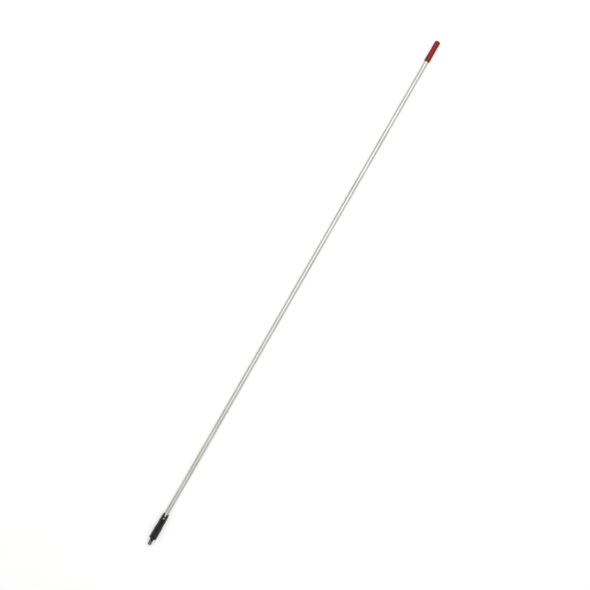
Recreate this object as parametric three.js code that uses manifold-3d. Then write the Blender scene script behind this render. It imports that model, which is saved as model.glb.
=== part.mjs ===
// Roller extension pole: two telescoping tubes, an external twist lock, a threaded tip and an end grip.
// Millimetres. X runs along the pole towards the threaded tip, Z is up, and the pole lies on the floor.
import * as THREE from "three";
import { mergeVertices } from "three/addons/utils/BufferGeometryUtils.js";
import Module from "manifold-3d";

const wasm = await Module();
wasm.setup();

// Driving dimensions
const POLE_LENGTH = 2438;
const TIP_END = POLE_LENGTH / 2;
const GRIP_END = -POLE_LENGTH / 2;
const FIT_GAP = 0.3;

// Outer tube and the pieces at its back end
const OUTER_TUBE_RADIUS = 10.7;
const OUTER_TUBE_WALL = 1;
const OUTER_BORE_RADIUS = OUTER_TUBE_RADIUS - OUTER_TUBE_WALL;
const OUTER_TUBE_BACK = GRIP_END + 6.5;
const GRIP_LENGTH = 100;
const GRIP_RADIUS = 11.95;
const GRIP_DOME = 7;
const CUFF_LENGTH = 19;
const CUFF_RISE = 0.4;
const END_PLUG_LENGTH = 22.5;
const PLUG_RADIUS = OUTER_BORE_RADIUS - FIT_GAP;

// Inner tube, its tip and its sliding end
const INNER_TUBE_RADIUS = 8.5;
const INNER_TUBE_WALL = 1.2;
const INNER_BORE_RADIUS = INNER_TUBE_RADIUS - INNER_TUBE_WALL;
const SPIGOT_RADIUS = INNER_BORE_RADIUS - FIT_GAP;
const INNER_TUBE_BACK = GRIP_END + 59;
const THREAD_RADIUS = 9.525;
const THREAD_PITCH = 5.08;
const THREAD_ROOT_RADIUS = 7;
const THREAD_LENGTH = 22;
const THREAD_CHAMFER = 2.2;
const TIP_FLANGE_RADIUS = 8.6;
const TIP_FLANGE_LENGTH = 2.7;
const TIP_BACK = TIP_END - THREAD_LENGTH - TIP_FLANGE_LENGTH;
const SHANK_RADIUS = 4;
const SHANK_LENGTH = 30;
const COLLAR_RADIUS = 9.2;
const COLLAR_LENGTH = 8;
const COLLAR_SPIGOT_LENGTH = 26;
const PIN_RADIUS = 1.5;
const TIP_PIN_PLACE = TIP_BACK - 22;
const PLUG_PIN_PLACE = INNER_TUBE_BACK + 15;
const PLUG_HEAD_LENGTH = 8;
const PLUG_SPIGOT_LENGTH = 30;
const JOURNAL_RADIUS = 7.4;
const GUIDE_RING_LENGTH = 17;
const GUIDE_RING_RADIUS = PLUG_RADIUS - 0.05;
const RING_SPLIT = 1.5;

// Ferrule fixed to the mouth of the outer tube
const FERRULE_BACK = TIP_END - 150;
const NOTCH_DEPTH = 18;
const NOTCH_HALF_WIDTH = 8.4;
const CROWN_RADIUS = 13.7;
const BODY_BACK = FERRULE_BACK + 30;
const BODY_RADIUS = 15.1;
const BODY_FLAT_HEIGHT = 14.4;
const SHOULDER = TIP_END - 87;
const BOSS_FRONT = SHOULDER + 39;
const BOSS_RADIUS = 11.9;
const LIP_BACK = SHOULDER - 0.4;
const LIP_LENGTH = 2.4;
const LIP_RADIUS = 8.9;
const RIVET_PLACE = FERRULE_BACK + 23.7;
const RIVET_HEAD_RADIUS = 3.7;
const RIVET_HEAD_HEIGHT = 1.2;
const RIVET_SHANK_RADIUS = 1.6;
const BUSH_LENGTH = 99.5;
const TUBE_FRONT = LIP_BACK - FIT_GAP;

// Twist lock
const LOCK_LEAD = 3;
const LOCK_THREAD_RADIUS = 12.8;
const LOCK_THREAD_BACK = SHOULDER + 8;
const LOCK_THREAD_TURNS = 4;
const SEAT_BACK = BOSS_FRONT - 14;
const SEAT_BACK_RADIUS = 9.6;
const SEAT_FRONT_RADIUS = 11;
const COLLET_BORE_RADIUS = INNER_TUBE_RADIUS + FIT_GAP;
const COLLET_FLANGE_RADIUS = 12.6;
const COLLET_FRONT = BOSS_FRONT + 5;
const WASHER_THICKNESS = 1.2;
const STOP_RING_PLACE = BOSS_FRONT - 7.7;
const STOP_RING_THICKNESS = 1.2;
const SLEEVE_BACK = SHOULDER + 1;
const SLEEVE_FRONT = TIP_END - 28.2;
const SLEEVE_RADIUS = 15.9;
const SLEEVE_RIBS = 16;
const RIB_HEIGHT = 0.8;
const RIB_CREST_SHARE = 0.2;
const RIB_FOOT_SHARE = 0.52;
const SLEEVE_CHAMBER_RADIUS = 13.2;
const SLEEVE_BORE_RADIUS = BOSS_RADIUS + FIT_GAP;
const SLEEVE_MOUTH_RADIUS = COLLAR_RADIUS + 0.5;
const SLEEVE_CHAMFER = 1.8;

// Two ribs stand side by side on the floor on the near edges of their crests.
const STANDING_ANGLE = (Math.PI / SLEEVE_RIBS) * (1 - RIB_CREST_SHARE);
const AXIS_HEIGHT = SLEEVE_RADIUS * Math.cos(STANDING_ANGLE);

// Facets of a full turn: on tubes, and on threads and what they are cut in
const ROUND = 32;
const THREAD_ROUND = 24;

const material = (color, roughness, metalness) =>
  new THREE.MeshStandardMaterial({ color, roughness, metalness });
const aluminium = material(0xd9dad3, 0.38, 1);
const steel = material(0xb9bbb8, 0.25, 1);
const darkPlating = material(0x4e4e4c, 0.2, 1);
const darkPlastic = material(0x38362f, 0.55, 0);
const blackPlastic = material(0x1c1c1a, 0.5, 0);
const paleNylon = material(0xd8d4c4, 0.6, 0);
const redVinyl = material(0x963a3c, 0.4, 0);

function toSolid(geometry) {
  const bare = geometry.clone();
  bare.deleteAttribute("normal");
  bare.deleteAttribute("uv");
  const merged = mergeVertices(bare, 1e-4);
  return new wasm.Manifold(
    new wasm.Mesh({
      numProp: 3,
      vertProperties: merged.attributes.position.array,
      triVerts: new Uint32Array(merged.index.array),
    }),
  );
}

function toGeometry(solid) {
  const mesh = solid.getMesh();
  const geometry = new THREE.BufferGeometry();
  geometry.setAttribute("position", new THREE.BufferAttribute(mesh.vertProperties, 3));
  geometry.setIndex(new THREE.BufferAttribute(mesh.triVerts, 1));
  const faceted = geometry.toNonIndexed();
  faceted.computeVertexNormals();
  return faceted;
}

// Turns a closed outline of [x, radius] points about the pole's axis, with a flat facing the floor.
function turned(outline, facets = ROUND) {
  const points = outline.map(([x, radius]) => new THREE.Vector2(radius, x));
  points.push(points[0].clone());
  const lathe = new THREE.LatheGeometry(points, facets, Math.PI / facets);
  return toSolid(lathe.rotateZ(-Math.PI / 2));
}

// The outline of a tube, given as [x, outer radius] points from back to front and the same for the bore.
function tubeOutline(outside, bore) {
  return [...outside, ...bore.toReversed()];
}

function rod(radius, from, to, facets = 20) {
  return turned([[from, 0], [from, radius], [to, radius], [to, 0]], facets);
}

// Turns a solid that lies along X so that it runs along Y, at x.
function acrossPole(solid, x) {
  return solid.rotate([0, 0, 90]).translate([x, 0, 0]);
}

// A trapezoid ridge wound right-handed around X, sunk into its core so that the two join.
function helicalRidge(start, turns, lead, rootRadius, crestRadius, rootWidth, crestWidth) {
  const sunk = 0.5;
  const corners = [
    [-rootWidth / 2, rootRadius - sunk],
    [-rootWidth / 2, rootRadius],
    [-crestWidth / 2, crestRadius],
    [crestWidth / 2, crestRadius],
    [rootWidth / 2, rootRadius],
    [rootWidth / 2, rootRadius - sunk],
  ];
  const count = Math.round(turns * THREAD_ROUND);
  const positions = [];
  const index = [];
  for (let i = 0; i <= count; i++) {
    const angle = (2 * Math.PI * (i + 0.5)) / THREAD_ROUND;
    for (const [offset, radius] of corners) {
      const x = start + (lead * i) / THREAD_ROUND + offset;
      positions.push(x, radius * Math.cos(angle), radius * Math.sin(angle));
    }
  }
  const n = corners.length;
  for (let i = 0; i < count; i++) {
    for (let k = 0; k < n; k++) {
      const a = i * n + k;
      const b = i * n + ((k + 1) % n);
      index.push(a, a + n, b, b, a + n, b + n);
    }
  }
  for (let k = 1; k < n - 1; k++) {
    index.push(0, k, k + 1);
    const last = count * n;
    index.push(last, last + k + 1, last + k);
  }
  const geometry = new THREE.BufferGeometry();
  geometry.setAttribute("position", new THREE.Float32BufferAttribute(positions, 3));
  geometry.setIndex(index);
  return toSolid(geometry);
}

// A box-shaped cutter that runs outwards from the axis along +Z.
function slotCutter(from, to, width, height) {
  const box = new THREE.BoxGeometry(to - from, width, height);
  return toSolid(box.translate((from + to) / 2, 0, height / 2));
}

function outerTube() {
  const outline = tubeOutline(
    [[OUTER_TUBE_BACK, OUTER_TUBE_RADIUS], [TUBE_FRONT, OUTER_TUBE_RADIUS]],
    [[OUTER_TUBE_BACK, OUTER_BORE_RADIUS], [TUBE_FRONT, OUTER_BORE_RADIUS]],
  );
  return turned(outline).subtract(rivetHoles());
}

// Four radial holes in line with the crown's notches.
function rivetHoles() {
  const holeRadius = RIVET_SHANK_RADIUS + 0.35;
  const bar = rod(holeRadius, -BODY_RADIUS - 2, BODY_RADIUS + 2, 16);
  const level = bar.rotate([0, 0, 90]);
  const upright = bar.rotate([0, 90, 0]);
  return level.add(upright).translate([RIVET_PLACE, 0, 0]);
}

function endGrip() {
  const open = GRIP_END + GRIP_LENGTH;
  const cuff = GRIP_RADIUS + CUFF_RISE;
  const outside = [[GRIP_END, 0]];
  const domeSteps = 6;
  for (let i = 1; i <= domeSteps; i++) {
    const angle = (Math.PI / 2) * (i / domeSteps);
    outside.push([GRIP_END + GRIP_DOME * (1 - Math.cos(angle)), GRIP_RADIUS * Math.sin(angle)]);
  }
  outside.push([open - CUFF_LENGTH - 1.5, GRIP_RADIUS]);
  outside.push([open - CUFF_LENGTH, cuff]);
  outside.push([open - 1, cuff]);
  outside.push([open, cuff - 0.7]);
  const bore = [
    [GRIP_END + 2, 0],
    [GRIP_END + 2.4, 7],
    [OUTER_TUBE_BACK - 0.6, OUTER_TUBE_RADIUS + FIT_GAP - 0.6],
    [OUTER_TUBE_BACK - FIT_GAP, OUTER_TUBE_RADIUS + FIT_GAP],
    [open, OUTER_TUBE_RADIUS + FIT_GAP],
  ];
  return turned([...outside, ...bore.toReversed()], ROUND);
}

function endPlug() {
  const seat = OUTER_TUBE_BACK - FIT_GAP;
  const front = seat + END_PLUG_LENGTH;
  const floor = 2;
  const outside = [
    [seat - 2.2, 0],
    [seat - 2.2, 7.2],
    [seat, PLUG_RADIUS],
    [front, PLUG_RADIUS],
  ];
  const bore = [[seat + floor, 0], [seat + floor, PLUG_RADIUS - 1.6], [front, PLUG_RADIUS - 1.6]];
  return turned([...outside, ...bore.toReversed()], ROUND);
}

function frontBush() {
  const back = TUBE_FRONT - BUSH_LENGTH;
  const outline = tubeOutline(
    [[back, PLUG_RADIUS], [TUBE_FRONT, PLUG_RADIUS]],
    [[back, COLLET_BORE_RADIUS], [TUBE_FRONT, COLLET_BORE_RADIUS]],
  );
  return turned(outline).subtract(rivetHoles());
}

// Crown, flatted body, threaded boss and tapered seat are one moulding.
function ferrule() {
  const socket = OUTER_TUBE_RADIUS + FIT_GAP;
  const stopGroove = STOP_RING_PLACE - 0.2;
  const outside = [
    [FERRULE_BACK, CROWN_RADIUS - 1.4],
    [FERRULE_BACK + 3, CROWN_RADIUS],
    [BODY_BACK - 1.5, CROWN_RADIUS],
    [BODY_BACK, BODY_RADIUS],
    [SHOULDER - 0.8, BODY_RADIUS],
    [SHOULDER, BODY_RADIUS - 0.8],
    [SHOULDER, BOSS_RADIUS],
    [stopGroove, BOSS_RADIUS],
    [stopGroove, BOSS_RADIUS - 0.7],
    [stopGroove + STOP_RING_THICKNESS + 0.4, BOSS_RADIUS - 0.7],
    [stopGroove + STOP_RING_THICKNESS + 0.4, BOSS_RADIUS],
    [BOSS_FRONT, BOSS_RADIUS],
  ];
  const bore = [
    [FERRULE_BACK, socket],
    [LIP_BACK, socket],
    [LIP_BACK, LIP_RADIUS],
    [LIP_BACK + LIP_LENGTH, LIP_RADIUS],
    [LIP_BACK + LIP_LENGTH, SEAT_BACK_RADIUS - 0.4],
    [SEAT_BACK, SEAT_BACK_RADIUS],
    [BOSS_FRONT, SEAT_FRONT_RADIUS],
  ];
  let body = turned(tubeOutline(outside, bore), THREAD_ROUND);
  for (let i = 0; i < 4; i++) {
    body = body.subtract(crownNotch().rotate([90 * i, 0, 0]));
  }
  for (let i = 0; i < 8; i++) {
    body = body.subtract(bodyFlat().rotate([45 * i, 0, 0]));
  }
  return body.subtract(rivetHoles()).add(lockThread(BOSS_RADIUS, LOCK_THREAD_RADIUS, 0));
}

// V-shaped cutter for one gap between two tongues of the crown.
function crownNotch() {
  const reach = 1;
  const spread = NOTCH_HALF_WIDTH * (1 + reach / NOTCH_DEPTH);
  const outline = new THREE.Shape([
    new THREE.Vector2(FERRULE_BACK - reach, -spread),
    new THREE.Vector2(FERRULE_BACK + NOTCH_DEPTH, 0),
    new THREE.Vector2(FERRULE_BACK - reach, spread),
  ]);
  const depth = BODY_RADIUS + 2;
  return toSolid(new THREE.ExtrudeGeometry(outline, { depth, bevelEnabled: false }));
}

// Cutter that planes one spanner flat on the ferrule's body.
function bodyFlat() {
  const from = BODY_BACK + 4;
  const to = SHOULDER - 3;
  const slab = new THREE.BoxGeometry(to - from, 2 * BODY_RADIUS, 4);
  return toSolid(slab.translate((from + to) / 2, 0, BODY_FLAT_HEIGHT + 2));
}

// The lock's thread; a growth above zero makes the matching groove.
function lockThread(root, crest, growth) {
  const extra = growth > 0 ? 1 : 0;
  const start = LOCK_THREAD_BACK - extra * LOCK_LEAD;
  const turns = LOCK_THREAD_TURNS + 2 * extra;
  const rootWidth = 1.5 + growth;
  const crestWidth = 0.7 + growth;
  return helicalRidge(start, turns, LOCK_LEAD, root, crest, rootWidth, crestWidth);
}

// A domed head outside and a shank that ends flush inside the bush, along +Z.
function ferruleRivet() {
  const seat = CROWN_RADIUS + FIT_GAP;
  const tail = COLLET_BORE_RADIUS + 0.2;
  const points = [
    [tail, 0],
    [tail, RIVET_SHANK_RADIUS],
    [seat, RIVET_SHANK_RADIUS],
    [seat, RIVET_HEAD_RADIUS],
    [seat + 0.5 * RIVET_HEAD_HEIGHT, 0.9 * RIVET_HEAD_RADIUS],
    [seat + RIVET_HEAD_HEIGHT, 0.5 * RIVET_HEAD_RADIUS],
    [seat + RIVET_HEAD_HEIGHT, 0],
  ];
  return turned(points, 16).rotate([0, -90, 0]).translate([RIVET_PLACE, 0, 0]);
}

// Tapered split collet: four slots let its fingers close on the inner tube.
function collet() {
  const taperGap = 0.35;
  const back = SEAT_BACK + 1;
  const flange = BOSS_FRONT + 1.5;
  const outside = [
    [back, SEAT_BACK_RADIUS + 0.1 - taperGap],
    [BOSS_FRONT, SEAT_FRONT_RADIUS - taperGap],
    [flange, SEAT_FRONT_RADIUS - taperGap],
    [flange, COLLET_FLANGE_RADIUS],
    [COLLET_FRONT, COLLET_FLANGE_RADIUS],
  ];
  const bore = [[back, COLLET_BORE_RADIUS], [COLLET_FRONT, COLLET_BORE_RADIUS]];
  let body = turned(tubeOutline(outside, bore));
  const slot = slotCutter(back - 1, BOSS_FRONT - 1, 1, 14);
  for (let i = 0; i < 4; i++) {
    body = body.subtract(slot.rotate([90 * i + 45, 0, 0]));
  }
  return body;
}

function slipWasher() {
  const back = COLLET_FRONT + FIT_GAP;
  const front = back + WASHER_THICKNESS;
  const outline = tubeOutline(
    [[back, COLLET_FLANGE_RADIUS], [front, COLLET_FLANGE_RADIUS]],
    [[back, LIP_RADIUS], [front, LIP_RADIUS]],
  );
  return turned(outline);
}

// Split ring in the boss's groove that the sleeve's inner step meets when it is unscrewed.
function sleeveStopRing() {
  const back = STOP_RING_PLACE;
  const front = back + STOP_RING_THICKNESS;
  const inner = BOSS_RADIUS - 0.4;
  const outer = SLEEVE_CHAMBER_RADIUS - FIT_GAP;
  const outline = tubeOutline([[back, outer], [front, outer]], [[back, inner], [front, inner]]);
  return turned(outline).subtract(slotCutter(back - 1, front + 1, 2.5, 16));
}

// Lengthwise ribs outside; thread, collet chamber and mouth inside.
function twistSleeve() {
  const pitch = (2 * Math.PI) / SLEEVE_RIBS;
  const valley = SLEEVE_RADIUS - RIB_HEIGHT;
  const outline = new THREE.Shape();
  for (let i = 0; i < SLEEVE_RIBS; i++) {
    const middle = (i + 0.5) * pitch;
    const steps = [
      [-0.5, valley],
      [-RIB_FOOT_SHARE / 2, valley],
      [-RIB_CREST_SHARE / 2, SLEEVE_RADIUS],
      [RIB_CREST_SHARE / 2, SLEEVE_RADIUS],
      [RIB_FOOT_SHARE / 2, valley],
    ];
    for (const [share, radius] of steps) {
      const angle = middle + share * pitch;
      const x = radius * Math.cos(angle);
      const y = radius * Math.sin(angle);
      if (i === 0 && share === -0.5) outline.moveTo(x, y);
      else outline.lineTo(x, y);
    }
  }
  const depth = SLEEVE_FRONT - SLEEVE_BACK;
  const ribbed = new THREE.ExtrudeGeometry(outline, { depth, bevelEnabled: false });
  ribbed.rotateY(Math.PI / 2).translate(SLEEVE_BACK, 0, 0);
  const reach = SLEEVE_RADIUS + 1;
  const envelope = turned([
    [SLEEVE_BACK, 0],
    [SLEEVE_BACK, SLEEVE_RADIUS - SLEEVE_CHAMFER + 0.6],
    [SLEEVE_BACK + 1.4, reach],
    [SLEEVE_FRONT - SLEEVE_CHAMFER - 1, reach],
    [SLEEVE_FRONT, SLEEVE_RADIUS - SLEEVE_CHAMFER],
    [SLEEVE_FRONT, 0],
  ], THREAD_ROUND);
  const step = STOP_RING_PLACE - LOCK_LEAD - FIT_GAP;
  const wall = COLLET_FRONT + 2 * FIT_GAP + WASHER_THICKNESS;
  const hollow = turned([
    [SLEEVE_BACK - 1, 0],
    [SLEEVE_BACK - 1, SLEEVE_CHAMBER_RADIUS],
    [SLEEVE_BACK + 1.5, SLEEVE_CHAMBER_RADIUS],
    [SLEEVE_BACK + 2.5, SLEEVE_BORE_RADIUS],
    [step, SLEEVE_BORE_RADIUS],
    [step, SLEEVE_CHAMBER_RADIUS],
    [wall, SLEEVE_CHAMBER_RADIUS],
    [wall, SLEEVE_MOUTH_RADIUS],
    [SLEEVE_FRONT + 1, SLEEVE_MOUTH_RADIUS],
    [SLEEVE_FRONT + 1, 0],
  ], THREAD_ROUND);
  const groove = lockThread(SLEEVE_BORE_RADIUS, LOCK_THREAD_RADIUS + 0.35, 0.7);
  return toSolid(ribbed).intersect(envelope).subtract(hollow).subtract(groove);
}

function innerTube() {
  const front = TIP_BACK - FIT_GAP - COLLAR_LENGTH - FIT_GAP;
  const outline = tubeOutline(
    [[INNER_TUBE_BACK, INNER_TUBE_RADIUS], [front, INNER_TUBE_RADIUS]],
    [[INNER_TUBE_BACK, INNER_BORE_RADIUS], [front, INNER_BORE_RADIUS]],
  );
  const tipHole = pinHole(TIP_PIN_PLACE);
  const plugHole = pinHole(PLUG_PIN_PLACE);
  return turned(outline).subtract(tipHole).subtract(plugHole);
}

function pinHole(x) {
  const reach = INNER_TUBE_RADIUS + 2;
  return acrossPole(rod(PIN_RADIUS + 0.35, -reach, reach, 16), x);
}

function crossPin(x) {
  const half = INNER_TUBE_RADIUS - 0.2;
  return acrossPole(rod(PIN_RADIUS, -half, half, 16), x);
}

// Nylon end of the inner tube: spigot, shoulder, journal for the guide ring and back flange.
function rearPlug() {
  const shoulder = INNER_TUBE_BACK - FIT_GAP;
  const journal = shoulder - PLUG_HEAD_LENGTH;
  const flange = journal - GUIDE_RING_LENGTH - 2 * FIT_GAP;
  const outside = [
    [flange - 2.5, 0],
    [flange - 2.5, INNER_TUBE_RADIUS],
    [flange - 2, INNER_TUBE_RADIUS + 0.5],
    [flange, INNER_TUBE_RADIUS + 0.5],
    [flange, JOURNAL_RADIUS],
    [journal, JOURNAL_RADIUS],
    [journal, INNER_TUBE_RADIUS],
    [shoulder, INNER_TUBE_RADIUS],
    [shoulder, SPIGOT_RADIUS],
    [shoulder + PLUG_SPIGOT_LENGTH - 2, SPIGOT_RADIUS],
    [shoulder + PLUG_SPIGOT_LENGTH, SPIGOT_RADIUS - 1.2],
    [shoulder + PLUG_SPIGOT_LENGTH, 0],
  ];
  return turned(outside, ROUND).subtract(pinHole(PLUG_PIN_PLACE));
}

function guideRing() {
  const front = INNER_TUBE_BACK - PLUG_HEAD_LENGTH - 2 * FIT_GAP;
  const back = front - GUIDE_RING_LENGTH;
  const bore = JOURNAL_RADIUS + FIT_GAP + 0.1;
  const outside = [
    [back, GUIDE_RING_RADIUS - 0.6],
    [back + 1, GUIDE_RING_RADIUS],
    [front, GUIDE_RING_RADIUS],
  ];
  const ring = turned(tubeOutline(outside, [[back, bore], [front, bore]]));
  return ring.subtract(slotCutter(back - 1, front + 1, RING_SPLIT, 12));
}

function tipCollar() {
  const front = TIP_BACK - FIT_GAP;
  const flange = front - COLLAR_LENGTH;
  const back = flange - COLLAR_SPIGOT_LENGTH;
  const outside = [
    [back, SPIGOT_RADIUS - 0.6],
    [back + 1.5, SPIGOT_RADIUS],
    [flange, SPIGOT_RADIUS],
    [flange, COLLAR_RADIUS - 0.4],
    [flange + 0.6, COLLAR_RADIUS],
    [front - 0.6, COLLAR_RADIUS],
    [front, COLLAR_RADIUS - 0.5],
  ];
  const bore = SHANK_RADIUS + 0.35;
  const body = turned(tubeOutline(outside, [[back, bore], [front, bore]]), ROUND);
  return body.subtract(pinHole(TIP_PIN_PLACE));
}

// Threaded stud: shank, flange and right-handed thread with a chamfered lead-in.
function threadedTip() {
  const core = turned([
    [TIP_BACK - SHANK_LENGTH, 0],
    [TIP_BACK - SHANK_LENGTH, SHANK_RADIUS],
    [TIP_BACK, SHANK_RADIUS],
    [TIP_BACK, TIP_FLANGE_RADIUS],
    [TIP_BACK + TIP_FLANGE_LENGTH - 1, TIP_FLANGE_RADIUS],
    [TIP_BACK + TIP_FLANGE_LENGTH, THREAD_ROOT_RADIUS],
    [TIP_END, THREAD_ROOT_RADIUS],
    [TIP_END, 0],
  ], THREAD_ROUND);
  const turns = THREAD_LENGTH / THREAD_PITCH + 0.5;
  const start = TIP_BACK + TIP_FLANGE_LENGTH + 0.3 * THREAD_PITCH;
  const rootWidth = 0.72 * THREAD_PITCH;
  const crestWidth = 0.37 * THREAD_PITCH;
  const ridge = helicalRidge(
    start, turns, THREAD_PITCH, THREAD_ROOT_RADIUS, THREAD_RADIUS, rootWidth, crestWidth,
  );
  const envelope = turned([
    [TIP_BACK, 0],
    [TIP_BACK, THREAD_RADIUS],
    [TIP_END - THREAD_CHAMFER, THREAD_RADIUS],
    [TIP_END, THREAD_RADIUS - THREAD_CHAMFER],
    [TIP_END, 0],
  ], THREAD_ROUND);
  return core.add(ridge.intersect(envelope)).subtract(pinHole(TIP_PIN_PLACE));
}

const group = new THREE.Group();
const outerPole = new THREE.Group();
const lock = new THREE.Group();
const innerPole = new THREE.Group();
group.add(outerPole, lock, innerPole);
for (const assembly of [outerPole, lock, innerPole]) {
  assembly.position.z = AXIS_HEIGHT;
}

function place(assembly, name, solid, finish) {
  const mesh = new THREE.Mesh(toGeometry(solid), finish);
  mesh.name = name;
  assembly.add(mesh);
}

place(outerPole, "outer_tube", outerTube(), aluminium);
place(outerPole, "end_grip", endGrip(), redVinyl);
place(outerPole, "end_plug", endPlug(), blackPlastic);
place(outerPole, "front_bush", frontBush(), paleNylon);
place(outerPole, "ferrule", ferrule(), darkPlastic);
for (let i = 0; i < 4; i++) {
  place(outerPole, `ferrule_rivet_${i + 1}`, ferruleRivet().rotate([90 * i, 0, 0]), aluminium);
}
place(outerPole, "sleeve_stop_ring", sleeveStopRing(), steel);
place(lock, "collet", collet(), paleNylon);
place(lock, "slip_washer", slipWasher(), steel);
place(lock, "twist_sleeve", twistSleeve(), darkPlastic);
place(innerPole, "guide_ring", guideRing(), paleNylon);
place(innerPole, "inner_tube", innerTube(), aluminium);
place(innerPole, "rear_plug", rearPlug(), paleNylon);
place(innerPole, "rear_plug_pin", crossPin(PLUG_PIN_PLACE), steel);
place(innerPole, "tip_collar", tipCollar(), blackPlastic);
place(innerPole, "threaded_tip", threadedTip(), darkPlating);
place(innerPole, "tip_pin", crossPin(TIP_PIN_PLACE), steel);

export default group;
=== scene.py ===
"""Looks of a telescoping roller extension pole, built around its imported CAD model.

Metres. X runs along the pole towards the threaded tip and Z is up. The pole lies on the floor.
"""

import math

import bmesh
import bpy
from mathutils import Matrix, Vector


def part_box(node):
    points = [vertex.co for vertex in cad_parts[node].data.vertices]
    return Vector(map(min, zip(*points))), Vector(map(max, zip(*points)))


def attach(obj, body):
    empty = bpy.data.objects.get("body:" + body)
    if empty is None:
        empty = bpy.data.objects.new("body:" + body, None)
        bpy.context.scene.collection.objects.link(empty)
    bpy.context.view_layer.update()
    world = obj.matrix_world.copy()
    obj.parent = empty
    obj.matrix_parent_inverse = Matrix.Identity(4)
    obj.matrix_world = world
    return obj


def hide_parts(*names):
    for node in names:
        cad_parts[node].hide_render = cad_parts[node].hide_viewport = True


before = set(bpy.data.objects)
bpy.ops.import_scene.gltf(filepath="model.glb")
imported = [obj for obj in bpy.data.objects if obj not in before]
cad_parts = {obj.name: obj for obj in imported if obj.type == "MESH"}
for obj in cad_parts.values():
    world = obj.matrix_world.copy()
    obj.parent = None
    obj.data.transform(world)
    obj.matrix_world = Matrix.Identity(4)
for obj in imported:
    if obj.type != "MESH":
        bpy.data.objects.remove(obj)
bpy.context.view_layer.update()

# ---------------------------------------------------------------------------------------------
# Outer tube: the long drawn aluminium tube that the painter holds. It has a plain satin surface
# with the fine lengthwise lines of the drawing die. Its cut ends are broken with a file, and four
# holes near its front end take the ferrule's rivets.
# ---------------------------------------------------------------------------------------------
MM = 0.001
TUBE_RADIUS = 10.7 * MM
TUBE_WALL = 1.0 * MM
TUBE_EDGE = 0.25 * MM
TUBE_SPANS = 40
RIVET_HOLE_RADIUS = 1.95 * MM
outer_low, outer_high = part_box("outer_tube")
axis_height = (outer_low.z + outer_high.z) / 2
rivet_low, rivet_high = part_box("ferrule_rivet_1")
rivet_place = (rivet_low.x + rivet_high.x) / 2


class Link:
    """One socket of a finish. Arithmetic on it adds Math nodes."""

    def __init__(self, finish, socket):
        self.finish = finish
        self.socket = socket

    def maths(self, operation, *others):
        return self.finish.node("Math", {"operation": operation}, dict(enumerate((self, *others))))

    def __add__(self, other):
        return self.maths("ADD", other)

    def __radd__(self, other):
        return self.maths("ADD", other)

    def __sub__(self, other):
        return self.maths("SUBTRACT", other)

    def __rsub__(self, other):
        return self.finish.node("Math", {"operation": "SUBTRACT"}, {0: other, 1: self})

    def __mul__(self, other):
        return self.maths("MULTIPLY", other)

    def __rmul__(self, other):
        return self.maths("MULTIPLY", other)


class Finish:
    """A material with one Principled shader, and the nodes that feed it."""

    def __init__(self, name, colour, **constants):
        self.material = bpy.data.materials.new(name)
        self.material.use_nodes = True
        self.material.diffuse_color = (*colour, 1)
        self.tree = self.material.node_tree
        self.shader = self.tree.nodes["Principled BSDF"]
        self.shader.inputs["Base Color"].default_value = (*colour, 1)
        for key, value in constants.items():
            self.shader.inputs[key.replace("_", " ")].default_value = value

    def node(self, kind, settings=None, inputs=None, output=0):
        """Adds a node: its settings first, then the values or links of its sockets."""
        made = self.tree.nodes.new("ShaderNode" + kind)
        for key, value in (settings or {}).items():
            if key == "stops":
                self.set_stops(made.color_ramp, value)
            else:
                setattr(made, key, value)
        for key, value in (inputs or {}).items():
            if isinstance(value, Link):
                self.tree.links.new(value.socket, made.inputs[key])
            else:
                made.inputs[key].default_value = value
        return Link(self, made.outputs[output])

    def set_stops(self, ramp, stops):
        while len(ramp.elements) < len(stops):
            ramp.elements.new(1.0)
        for element, (place, value) in zip(ramp.elements, stops):
            element.position = place
            element.color = (*value, 1) if isinstance(value, tuple) else (value, value, value, 1)

    def feed(self, **links):
        for key, link in links.items():
            self.tree.links.new(link.socket, self.shader.inputs[key.replace("_", " ")])

    def noise(self, scale, stretch=(1, 1, 1), detail=3.0, roughness=0.55, distortion=0.0):
        """Noise in the piece's own metres; a stretch under 1 draws it out along that axis."""
        place = self.node("TexCoord", output="Object")
        inputs = {
            "Vector": self.node("Mapping", {}, {"Vector": place, "Scale": stretch}),
            "Scale": scale,
            "Detail": detail,
            "Roughness": roughness,
            "Distortion": distortion,
        }
        return self.node("TexNoise", {}, inputs)

    def ramp(self, factor, *stops):
        return self.node("ValToRGB", {"stops": stops}, {"Fac": factor})

    def blend(self, factor, first, second):
        """Mixes two colours, each a link or three numbers."""
        first, second = (c if isinstance(c, Link) else (*c, 1) for c in (first, second))
        return self.node("Mix", {"data_type": "RGBA"}, {0: factor, 6: first, 7: second}, output=2)

    def bump(self, height, depth, strength=1.0):
        inputs = {"Height": height, "Distance": depth, "Strength": strength}
        self.feed(Normal=self.node("Bump", {}, inputs))


def drawn_aluminium():
    """Satin aluminium: die lines along the tube, cloudy handling marks and fine scuffs."""
    finish = Finish("drawn_aluminium", (0.78, 0.785, 0.755), Metallic=1.0, Roughness=0.34)
    lines = finish.noise(900, (0.004, 1, 1), detail=4, roughness=0.7)
    clouds = finish.noise(9, (1, 4, 4), detail=4, roughness=0.6)
    scratches = finish.noise(420, (0.35, 1, 1), detail=6, distortion=1.6)
    patches = finish.ramp(finish.noise(5, (1, 2, 2), detail=3), (0.48, 0.0), (0.66, 1.0))
    wear = finish.ramp(scratches, (0.62, 0.0), (0.74, 1.0)) * patches
    tone = lines * 0.55 + clouds * 0.45
    clean = finish.ramp(tone, (0.38, (0.56, 0.565, 0.53)), (0.62, (0.76, 0.765, 0.72)))
    finish.feed(Base_Color=finish.blend(wear * 0.5, clean, (0.50, 0.50, 0.48)))
    finish.feed(Roughness=lines * 0.30 + clouds * 0.10 + wear * 0.14 + 0.22)
    finish.bump(lines + wear * 0.5, 0.00008, 0.5)
    return finish.material


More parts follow.
